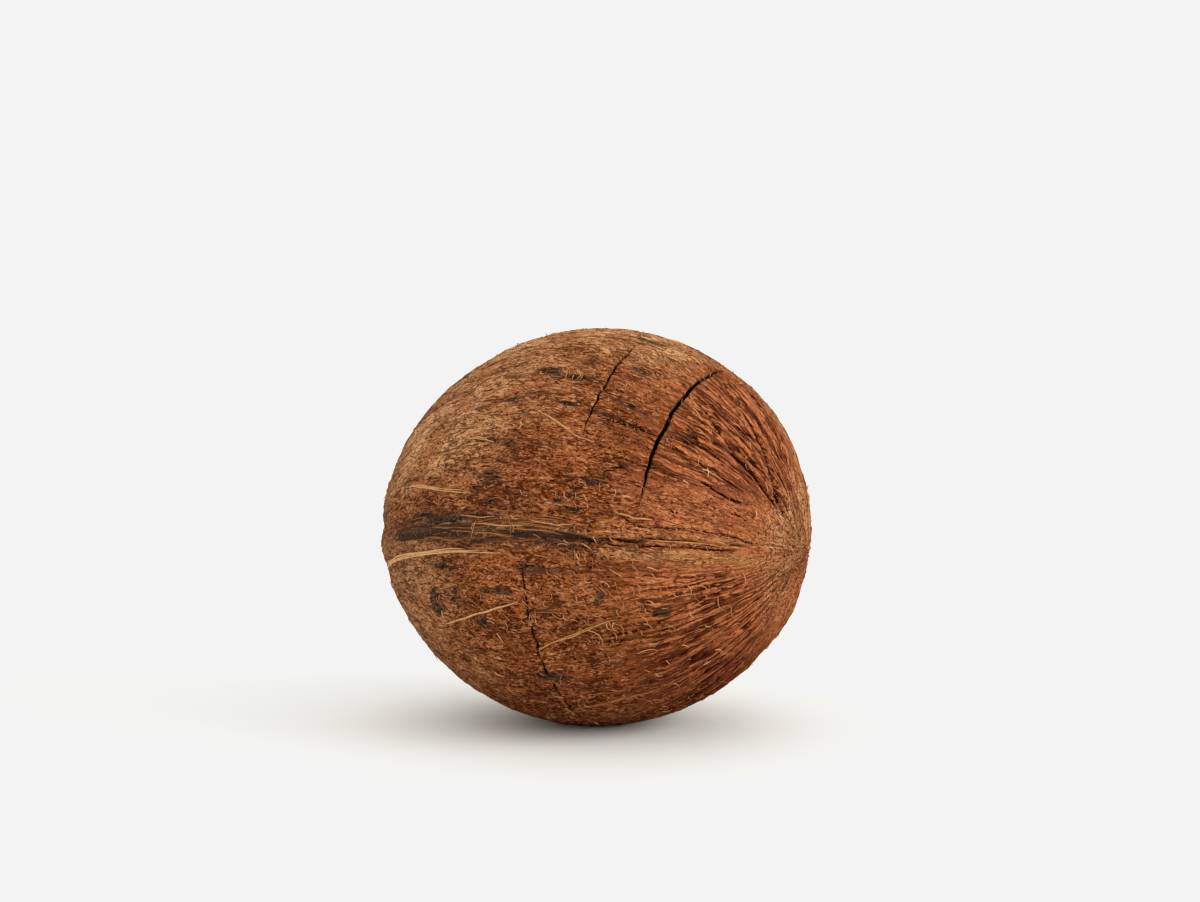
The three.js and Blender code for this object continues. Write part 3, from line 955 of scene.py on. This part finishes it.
def fibre_courses(random, count):
    """Finer fibres along the grain, thickest beside the seams and round the tip."""
    courses = []
    while len(courses) < count:
        along = math.acos(random.uniform(-0.985, 0.985))
        around = random.uniform(-math.pi, math.pi)
        beside = math.exp(-(float(seam_distance(along, around)) / BESIDE_SEAM) ** 2)
        if along < 20 * DEG or random.random() > 0.3 + 0.8 * beside:
            continue
        if on_nut(along, around)[2] < FIBRE_CLEAR:
            continue
        length = random.uniform(*FIBRE_LENGTH) * (1 + 0.9 * beside)
        reach = length / TIP_LENGTH
        if crosses_a_crack(along / DEG, around / DEG, reach / 2 / DEG):
            continue
        slant = random.normal(0, 0.12) * (1 - 0.6 * beside)
        wave = random.normal(0, 0.007, 4)
        lean = slant * length / GIRTH_RADIUS / max(0.3, math.sin(along))
        knots = []
        for k in range(4):
            share = k / 3 - 0.5
            here = min(max(along + reach * share, 0.06), math.pi - 0.08)
            knots.append((here / DEG, (around + lean * share + wave[k]) / DEG))
        width = random.uniform(*FIBRE_WIDTH)
        tone = random.uniform(-0.1, 0.8)
        courses.append((knots, width, -0.02, random.uniform(-0.15, 0.12), tone))
    return courses


def hair_tree():
    """Scatters curled fibre ends over the coat. They lean away from the stem end and
    downwards, as the husk left them when it was torn off."""
    tree, given = new_tree("curled_fibre_ends", {
        "Coat": ("Geometry", None), "Density": ("Float", 100000.0),
        "Length": ("Float", 2 * MM), "Thickness": ("Float", 0.2 * MM),
        "Lean": ("Float", 2.3), "Spread": ("Float", 0.8), "Lift": ("Float", 0.3),
        "Evenness": ("Float", 0.0), "Seed": ("Int", 1), "Material": ("Material", None)})
    hairy, flow = [
        add(tree, "GeometryNodeInputNamedAttribute", {"Name": name}, data_type=kind)
        for name, kind in [("hairiness", "FLOAT"), ("flow", "FLOAT_VECTOR")]]
    # None grow where the coat is bare, and Evenness is the least share elsewhere
    growing = add(tree, "ShaderNodeMath", {0: hairy, 1: 0.03}, operation="GREATER_THAN")
    density = add(tree, "ShaderNodeMath", {0: hairy, 1: given["Evenness"]}, operation="MAXIMUM")
    for share in (growing, given["Density"]):
        density = add(tree, "ShaderNodeMath", {0: density, 1: share}, operation="MULTIPLY")
    scattered = add(tree, "GeometryNodeDistributePointsOnFaces",
                    {"Mesh": given["Coat"], "Density": density, "Seed": given["Seed"]})

    # Each one lies along the fibres, swings aside, then rolls and dips a little
    turned = add(tree, "FunctionNodeAxesToRotation",
                 {"Primary Axis": scattered.outputs["Normal"], "Secondary Axis": flow},
                 primary_axis="Z", secondary_axis="X")
    least, most = [
        add(tree, "ShaderNodeMath", {0: given["Lean"], 1: given["Spread"]}, operation=side)
        for side in ("SUBTRACT", "ADD")]
    swing, roll, dip, grown, tone = [
        add(tree, "FunctionNodeRandomValue", {"Min": low, "Max": high, "Seed": seed})
        for low, high, seed in [(least, most, given["Seed"]), (-0.6, 0.6, 7),
                                (-0.1, 0.12, 8), (0.6, 1.35, 10), (0.0, 1.0, 11)]]
    for angles in ({"Z": swing}, {"X": roll, "Y": dip}):
        euler = add(tree, "ShaderNodeCombineXYZ", angles)
        turn = add(tree, "FunctionNodeEulerToRotation", {"Euler": euler})
        turned = add(tree, "FunctionNodeRotateRotation",
                     {"Rotation": turned, "Rotate By": turn}, rotation_space="LOCAL")

    # Three curls of one length: an arch, a hook and a lazy bend, as middle and end points
    curls = [((0.5, 0.12, 1.0), (1.0, 0.1, 0.1)),
             ((0.55, -0.3, 0.8), (0.85, 0.25, 0.3)),
             ((0.6, 0.3, 0.5), (0.95, -0.1, 0.7))]
    profile = add(tree, "GeometryNodeCurvePrimitiveCircle", {"Resolution": 3, "Radius": 0.5})
    factor = add(tree, "GeometryNodeSplineParameter").outputs["Factor"]
    thin = add(tree, "ShaderNodeMapRange",
               {"Value": factor, "From Min": 0.3, "To Min": 1.0, "To Max": 0.35})
    width, rise = [add(tree, "ShaderNodeMath", {0: of, 1: by}, operation="MULTIPLY")
                   for of, by in [(thin, given["Thickness"]), (given["Length"], given["Lift"])]]
    size = add(tree, "ShaderNodeCombineXYZ",
               {"X": given["Length"], "Y": given["Length"], "Z": rise})
    shapes = add(tree, "GeometryNodeGeometryToInstance")
    for curl in curls:
        belly, point = [
            add(tree, "ShaderNodeVectorMath", {0: size, 1: spot}, operation="MULTIPLY")
            for spot in curl]
        curve = add(tree, "GeometryNodeCurveQuadraticBezier",
                    {"Resolution": 4, "Start": (0, 0, 0), "Middle": belly, "End": point})
        hair = add(tree, "GeometryNodeCurveToMesh",
                   {"Curve": curve, "Profile Curve": profile, "Scale": width, "Fill Caps": True})
        tree.links.new(hair.outputs[0], shapes.inputs[0])
    standing = add(tree, "GeometryNodeInstanceOnPoints",
                   {"Points": scattered, "Instance": shapes, "Pick Instance": True,
                    "Rotation": turned, "Scale": grown})
    toned = add(tree, "GeometryNodeStoreNamedAttribute",
                {"Geometry": standing, "Name": "tone", "Value": tone},
                data_type="FLOAT", domain="INSTANCE")
    return finish_tree(tree, toned, given["Material"])


def chosen_colour(name, description, default):
    """A colour that a user can change, as an sRGB hex value."""
    return bpy.props.StringProperty(name=name, description=description, default=default)


def chosen_size(name, description, default):
    """A size that a user can change, in millimetres here and in metres in Blender."""
    return bpy.props.FloatProperty(name=name, description=description, default=default * MM,
                                   subtype="DISTANCE", unit="LENGTH")


def chosen_power(name, description, default):
    """A lamp's power in watts that a user can change."""
    return bpy.props.FloatProperty(name=name, description=description, default=default,
                                   subtype="POWER", unit="POWER")


class CoatSettings(bpy.types.PropertyGroup):
    columns: bpy.props.IntProperty(
        name="Columns", description="Faces round the girth", default=690, min=90)
    rows: bpy.props.IntProperty(
        name="Rows", description="Faces from tip to stem end, besides those of the cracks",
        default=116, min=30)
    fine_depth: chosen_size("Cleft depth", "Depth of the clefts between the fibres", FINE_DEPTH)
    red_brown: chosen_colour("Red brown", "Fresh fibre over most of the nut", "#a2582c")
    deep_brown: chosen_colour("Deep brown", "Darker fibre over most of the nut", "#7f401c")
    fresh_brown: chosen_colour("Fresh brown", "Clean fibre round the tip", "#c46f44")
    # Painted shade on the lower side
    painted_shade_brown: chosen_colour("Shade brown", "Fibre on the lower side", "#662912")
    warm_brown: chosen_colour("Warm brown", "Darker fibre of the golden side", "#bb7849")
    golden: chosen_colour("Golden", "Sun-bleached fibre on the upper side", "#e2a36d")
    grey_brown: chosen_colour("Grey brown", "Weathered fibre round the stem end", "#a07d58")
    tan: chosen_colour("Tan", "Smooth fibre beside the seams", "#be8251")
    # Pale: painted highlight on the fibre ends that stand highest
    pale: chosen_colour("Pale", "Worn fibre ends", "#dfa67b")
    # Painted shade in the gaps between the fibres, plain and in the golden fibre
    gap_shade: chosen_colour("Pit", "Gaps between the fibres", "#2c0b02")
    warm_gap_shade: chosen_colour("Warm pit", "Gaps in the golden fibre", "#341405")
    stain: chosen_colour("Stain", "The stained strip along the seam", "#3b2b25")
    charcoal: chosen_colour("Charcoal", "Raised fibre of the scorch marks", "#4a3b2e")
    charcoal_dark: chosen_colour("Dark charcoal", "Gaps in the scorch marks", "#1c130c")
    # Crack: broken shell, darkened to near black as painted shade inside the cracks
    crack: chosen_colour("Crack", "Broken shell inside the cracks", "#0e0705")
    eye: chosen_colour("Eye", "The bare dishes at the stem end", "#3c2416")


class FibreSettings(bpy.types.PropertyGroup):
    fibres: bpy.props.IntProperty(
        name="Fibres", description="Fine fibres that lie along the grain", default=1300)
    seed: bpy.props.IntProperty(name="Seed", description="Start of every random draw", default=4)
    deep: chosen_colour("Deep", "Darkest fine fibre", "#5e2a12")
    brown: chosen_colour("Brown", "Palest fine fibre", "#a9683b")
    dark: chosen_colour("Dark", "Dark fibre", "#875128")
    mid: chosen_colour("Middle", "Middle fibre", "#b57f4a")
    light: chosen_colour("Light", "Palest strand", "#dbab78")


class HairSettings(bpy.types.PropertyGroup):
    density: bpy.props.FloatProperty(
        name="Density", description="Curled fibre ends on each square metre, where thickest",
        default=260000.0)
    length: chosen_size("Length", "Length of a usual curled fibre end", 2.3)
    thickness: chosen_size("Thickness", "Thickness of a curled fibre end", 0.26)
    seed: bpy.props.IntProperty(name="Seed", description="Start of every random draw", default=21)
    felt_dark: chosen_colour("Felt", "The darkest short fibre ends", "#5a2c14")
    dark: chosen_colour("Dark", "Dark hairs", "#7d4526")
    mid: chosen_colour("Middle", "Usual hairs", "#a86d42")
    light: chosen_colour("Light", "Palest hairs", "#d09b6c")


class StageSettings(bpy.types.PropertyGroup):
    paper: chosen_colour("Paper", "The seamless paper below and behind", "#f3f3ec")
    key_power: chosen_power("Key light", "Power of the low soft light on the right", 10.5)
    top_power: chosen_power("Top light", "Power of the wide soft light overhead", 4.5)
    sweep_power: chosen_power("Sweep light", "Power of the light on the paper behind the nut", 2.4)
    sky: bpy.props.FloatProperty(
        name="Room light", description="Even light from all round", default=0.95)


class NUT_OT_coat(bpy.types.Operator):
    """Builds the coat, which stands for the solid nut"""

    bl_idname = "nut.coat"
    bl_label = "Coat"

    def execute(self, context):
        coat = belong(make_coat(context.scene.nut_coat))
        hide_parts("coconut")
        return {"FINISHED"}


class NUT_OT_fibres(bpy.types.Operator):
    """Lays the coarse strands and the fine fibres on the coat"""

    bl_idname = "nut.fibres"
    bl_label = "Strands and fibres"

    def execute(self, context):
        settings = context.scene.nut_fibres
        random = np.random.default_rng(settings.seed)
        tree = laid_fibre_tree()
        pale = coir_fibre_material("husk_strand", settings.dark, settings.mid, settings.light)
        brown = coir_fibre_material("coir_fibre", settings.deep, settings.dark, settings.brown)
        strands = strand_courses(random)
        fibres = fibre_courses(random, settings.fibres)
        belong(lay_fibres("strands", tree, strands, pale, steps=28, sides=6, flatness=0.6))
        belong(lay_fibres("fibres", tree, fibres, brown, steps=10, sides=4, flatness=0.8))
        return {"FINISHED"}


class NUT_OT_hairs(bpy.types.Operator):
    """Grows the curled fibre ends on the coat"""

    bl_idname = "nut.hairs"
    bl_label = "Hairs"

    def execute(self, context):
        settings = context.scene.nut_hairs
        coat = bpy.data.objects["coat"]
        tree = hair_tree()
        curl = coir_fibre_material("coir_hair", settings.dark, settings.mid, settings.light)
        felt = coir_fibre_material("coir_felt", settings.felt_dark, settings.dark, settings.mid)
        # Shares of the density, length and thickness, then spread, lift and evenness
        kinds = [("felt", 1.0, 0.45, 0.75, 3.1, 0.12, 0.5, felt),
                 ("curls", 1.0, 1.0, 1.0, 0.8, 0.2, 0.0, curl),
                 ("long_curls", 0.12, 1.9, 0.9, 0.9, 0.14, 0.0, curl)]
        for k, (name, density, length, thick, spread, lift, even, material) in enumerate(kinds):
            inputs = {"Density": density * settings.density, "Length": length * settings.length,
                      "Thickness": thick * settings.thickness, "Spread": spread, "Lift": lift,
                      "Evenness": even, "Seed": settings.seed + k, "Material": material}
            belong(run_tree(name, tree, coat.data, inputs))
        return {"FINISHED"}


class NUT_OT_stage(bpy.types.Operator):
    """Sets up the paper sweep, the lights and the camera"""

    bl_idname = "nut.stage"
    bl_label = "Stage"

    def execute(self, context):
        settings = context.scene.nut_stage
        make_paper(settings)
        make_lights(context.scene, settings)
        make_camera(context.scene)
        return {"FINISHED"}


def view_direction(azimuth, elevation):
    """From the nut towards the camera."""
    return Vector((math.sin(azimuth) * math.cos(elevation),
                   -math.cos(azimuth) * math.cos(elevation), math.sin(elevation)))


def make_paper(settings):
    """A sweep of paper: level under the nut, curving up behind it."""
    front, back, bend, top, half_width = 1600, 1300, 500, 1500, 2200
    profile = [(-front, 0), (0, 0), (back - bend, 0)]
    for k in range(1, 13):
        angle = k / 12 * math.pi / 2
        profile.append((back - bend + bend * math.sin(angle), bend - bend * math.cos(angle)))
    profile.append((back, top))
    away = -view_direction(VIEW_AZIMUTH, 0)
    aside = Vector((-away.y, away.x, 0))
    points = []
    for side in (half_width, -half_width):
        for reach, height in profile:
            spot = away * reach + aside * side
            points.append((spot.x, spot.y, height))
    count = len(profile)
    faces = [(k, k + 1, count + k + 1, count + k) for k in range(count - 1)]
    paper = new_piece("paper", points, faces, paper_material(settings))


def make_lights(scene, settings):
    """A wide soft light overhead, one on the sweep, a low soft one on the right, and even
    light from all round."""
    centre = Vector(NUT_CENTRE * MM)
    away = -view_direction(VIEW_AZIMUTH, 0)
    toward_key = view_direction(KEY_AZIMUTH, KEY_ELEVATION)
    # Each lamp's power, size and place in metres, and where it shines
    lamps = {
        "top": (settings.top_power, 2.4, away * 0.15 + Vector((0, 0, 1.4)), Vector((0, 0, -1))),
        "key": (settings.key_power, 0.9, toward_key * 1.3, -toward_key),
        "sweep": (settings.sweep_power, 1.0, away * 0.5 + Vector((0, 0, 1.0)),
                  (away + Vector((0, 0, -1))).normalized()),
    }
    for name, (watts, size, shift, aim) in lamps.items():
        lamp = bpy.data.lights.new(name, "AREA")
        lamp.shape = "DISK"
        lamp.size = size
        lamp.energy = watts
        placed(name, lamp, location=centre + shift, rotation_mode="QUATERNION",
               rotation_quaternion=aim.to_track_quat("-Z", "Y"))
    world = bpy.data.worlds.new("studio")
    world.use_nodes = True
    sky = world.node_tree.nodes["Background"].inputs
    sky["Color"].default_value = (1, 1, 1, 1)
    sky["Strength"].default_value = settings.sky
    scene.world = world
    view = scene.view_settings
    view.view_transform = "Standard"
    view.look = "None"
    # White paper stays just below pure white, as a camera shows it
    view.use_curve_mapping = True
    view.curve_mapping.extend = "HORIZONTAL"
    tones = view.curve_mapping.curves[3].points
    tones[-1].location = (1.0, PAPER_TONE)
    tones.new(0.75, 0.75)
    view.curve_mapping.update()


def make_camera(scene):
    """The camera that saw the nut at its place in the picture."""
    data = bpy.data.cameras.new("camera")
    data.lens = LENS
    data.sensor_width = SENSOR
    toward = view_direction(VIEW_AZIMUTH, VIEW_ELEVATION)
    focal_pixels = PICTURE[0] * LENS / SENSOR
    yaw, pitch = [math.atan((NUT_PIXEL[k] - PICTURE[k] / 2) / focal_pixels) for k in (0, 1)]
    turn = ((-toward).to_track_quat("-Z", "Y") @ Quaternion((0, 1, 0), yaw)
            @ Quaternion((1, 0, 0), pitch))
    place = Vector(NUT_CENTRE * MM) + toward * VIEW_DISTANCE * MM
    scene.camera = placed("camera", data, location=place, rotation_mode="QUATERNION",
                          rotation_quaternion=turn)


class NUT_PT_panel(bpy.types.Panel):
    bl_idname = "NUT_PT_panel"
    bl_label = "Coconut"
    bl_space_type = "VIEW_3D"
    bl_region_type = "UI"
    bl_category = "Coconut"

    def draw(self, context):
        for operator, settings in STEPS:
            box = self.layout.box()
            box.operator(operator.bl_idname)
            group = getattr(context.scene, settings)
            for name in group.__annotations__:
                box.prop(group, name)


STEPS = [(NUT_OT_coat, "nut_coat"), (NUT_OT_fibres, "nut_fibres"),
         (NUT_OT_hairs, "nut_hairs"), (NUT_OT_stage, "nut_stage")]
GROUPS = {"nut_coat": CoatSettings, "nut_fibres": FibreSettings,
          "nut_hairs": HairSettings, "nut_stage": StageSettings}
CLASSES = [*GROUPS.values(), *(operator for operator, _ in STEPS), NUT_PT_panel]


def register():
    for made in CLASSES:
        bpy.utils.register_class(made)
    for name, group in GROUPS.items():
        setattr(bpy.types.Scene, name, bpy.props.PointerProperty(type=group))


def unregister():
    for name in GROUPS:
        delattr(bpy.types.Scene, name)
    for made in reversed(CLASSES):
        bpy.utils.unregister_class(made)


def main():
    register()
    bpy.ops.nut.coat()
    bpy.ops.nut.fibres()
    bpy.ops.nut.hairs()
    bpy.ops.nut.stage()


if __name__ == "__main__":
    main()
